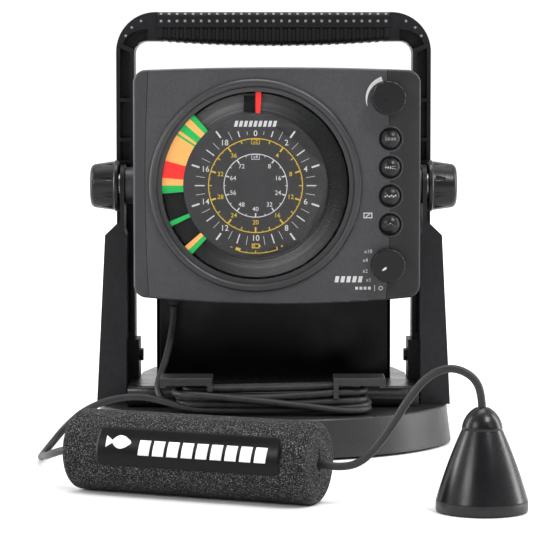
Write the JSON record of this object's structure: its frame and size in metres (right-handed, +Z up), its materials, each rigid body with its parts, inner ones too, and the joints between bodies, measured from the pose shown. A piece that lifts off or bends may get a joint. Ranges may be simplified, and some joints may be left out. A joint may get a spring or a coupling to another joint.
{
  "type": "portable fish finder",
  "caption": "Ice-fishing flasher: dial head tilting in a gimbal stand with carrying handle and battery case, with hanked cable, foam float and cone transducer.",
  "frame": {"origin": "centre of the base's footprint on the floor, without the loose cable, float and transducer", "axes": "+Z up, -Y out of the dial face, +X to the right seen from the front; the head tilts about X"},
  "size_m": [0.3061, 0.4382, 0.302],
  "materials": {
    "base_plastic": "satin moulded plastic",
    "stand_plastic": "satin moulded plastic",
    "case_plastic": "gloss black plastic",
    "head_plastic": "fine textured plastic",
    "knob_plastic": "satin plastic",
    "rubber": "moulded rubber",
    "steel": "zinc plated steel",
    "brass": "turned brass",
    "strip_metal": "brushed strip",
    "board": "fibreglass board",
    "component": "moulded component",
    "dial_plastic": "printed plastic",
    "lens": "clear lens",
    "battery": "battery case",
    "cable": "rubber cable sheath",
    "foam": "closed cell foam",
    "label": "printed vinyl label",
    "transducer": "satin gloss plastic",
    "crystal": "ceramic disc"
  },
  "bodies": {
    "stand": {"base_shell": "base_plastic", "bottom_plate": "base_plastic", "base_feet": "rubber", "deck_platform": "base_plastic", "deck_strip": "strip_metal", "left_cable_hook": "base_plastic", "right_cable_hook": "base_plastic", "left_upright": "stand_plastic", "right_upright": "stand_plastic", "friction_washers": "rubber", "handle_frame": "stand_plastic", "handle_grip": "rubber", "left_handle_socket": "stand_plastic", "right_handle_socket": "stand_plastic", "handle_bolts": "steel", "battery_case": "case_plastic", "battery": "battery", "lid_hinge_pin": "steel", "cable_hank": "cable", "drop_cable": "cable", "float_lead": "cable", "transducer_cable": "cable", "foam_float": "foam", "float_label": "label", "transducer_body": "transducer", "transducer_face": "transducer", "transducer_crystal": "crystal", "transducer_cap": "transducer"},
    "head": {"front_panel": "head_plastic", "left_side_trim": "head_plastic", "control_strip": "head_plastic", "housing_gasket": "rubber", "rear_housing": "head_plastic", "gimbal_inserts": "brass", "housing_screws": "steel", "cable_gland": "rubber", "dial_bezel": "head_plastic", "dial_lens": "lens", "dial_face": "dial_plastic", "flasher_motor": "steel", "main_board": "board", "control_board": "board", "gain_potentiometer": "component", "range_switch": "component"},
    "flasher": {"flasher_disc": "dial_plastic", "light_bar": "component", "motor_shaft": "steel"},
    "gain_control": {"gain_knob": "knob_plastic"},
    "range_control": {"range_knob": "knob_plastic"},
    "button_a": {"button_top": "rubber"},
    "button_b": {"button_upper": "rubber"},
    "button_c": {"button_lower": "rubber"},
    "button_d": {"button_bottom": "rubber"},
    "left_washer": {"left_knob_washer": "steel"},
    "left_knob": {"left_gimbal_knob": "knob_plastic", "left_knob_stud": "steel"},
    "right_washer": {"right_knob_washer": "steel"},
    "right_knob": {"right_gimbal_knob": "knob_plastic", "right_knob_stud": "steel"},
    "case_lid": {"battery_lid": "case_plastic"}
  },
  "joints": [
    {"name": "head_tilt", "type": "hinge", "parent": "stand", "child": "head", "pos_m": [0, 0, 0.18], "axis": [1, 0, 0], "range_deg": [-25, 10], "deforming": ["drop_cable"]},
    {"name": "flasher_spin", "type": "hinge", "parent": "head", "child": "flasher", "pos_m": [-0.0123, -0.0385, 0.1815], "axis": [0, 1, 0], "continuous": true},
    {"name": "gain_turn", "type": "hinge", "parent": "head", "child": "gain_control", "pos_m": [0.0783, -0.05, 0.2412], "axis": [0, 1, 0], "range_deg": [-150, 150]},
    {"name": "range_turn", "type": "hinge", "parent": "head", "child": "range_control", "pos_m": [0.0783, -0.05, 0.1274], "axis": [0, 1, 0], "range_deg": [-52, 52]},
    {"name": "button_top_press", "type": "slide", "parent": "head", "child": "button_a", "axis": [0, 1, 0], "range_m": [0, 0.0015], "stiffness_N_per_m": 600},
    {"name": "button_upper_press", "type": "slide", "parent": "head", "child": "button_b", "axis": [0, 1, 0], "range_m": [0, 0.0015], "stiffness_N_per_m": 600},
    {"name": "button_lower_press", "type": "slide", "parent": "head", "child": "button_c", "axis": [0, 1, 0], "range_m": [0, 0.0015], "stiffness_N_per_m": 600},
    {"name": "button_bottom_press", "type": "slide", "parent": "head", "child": "button_d", "axis": [0, 1, 0], "range_m": [0, 0.0015], "stiffness_N_per_m": 600},
    {"name": "left_washer_slide", "type": "slide", "parent": "head", "child": "left_washer", "axis": [-1, 0, 0], "range_m": [0, 0.002]},
    {"name": "left_knob_turn", "type": "hinge", "parent": "left_washer", "child": "left_knob", "pos_m": [-0.11, 0, 0.18], "axis": [-1, 0, 0], "range_deg": [0, 725]},
    {"name": "right_washer_slide", "type": "slide", "parent": "head", "child": "right_washer", "axis": [1, 0, 0], "range_m": [0, 0.002]},
    {"name": "right_knob_turn", "type": "hinge", "parent": "right_washer", "child": "right_knob", "pos_m": [0.11, 0, 0.18], "axis": [1, 0, 0], "range_deg": [0, 725]},
    {"name": "lid_open", "type": "hinge", "parent": "stand", "child": "case_lid", "pos_m": [0, 0.101, 0.1496], "axis": [1, 0, 0], "range_deg": [-110, 0]}
  ],
  "couplings": [
    {"joint": "left_knob_turn", "follows": "left_washer_slide", "rad_per_m": 6283.2},
    {"joint": "right_knob_turn", "follows": "right_washer_slide", "rad_per_m": 6283.2}
  ]
}
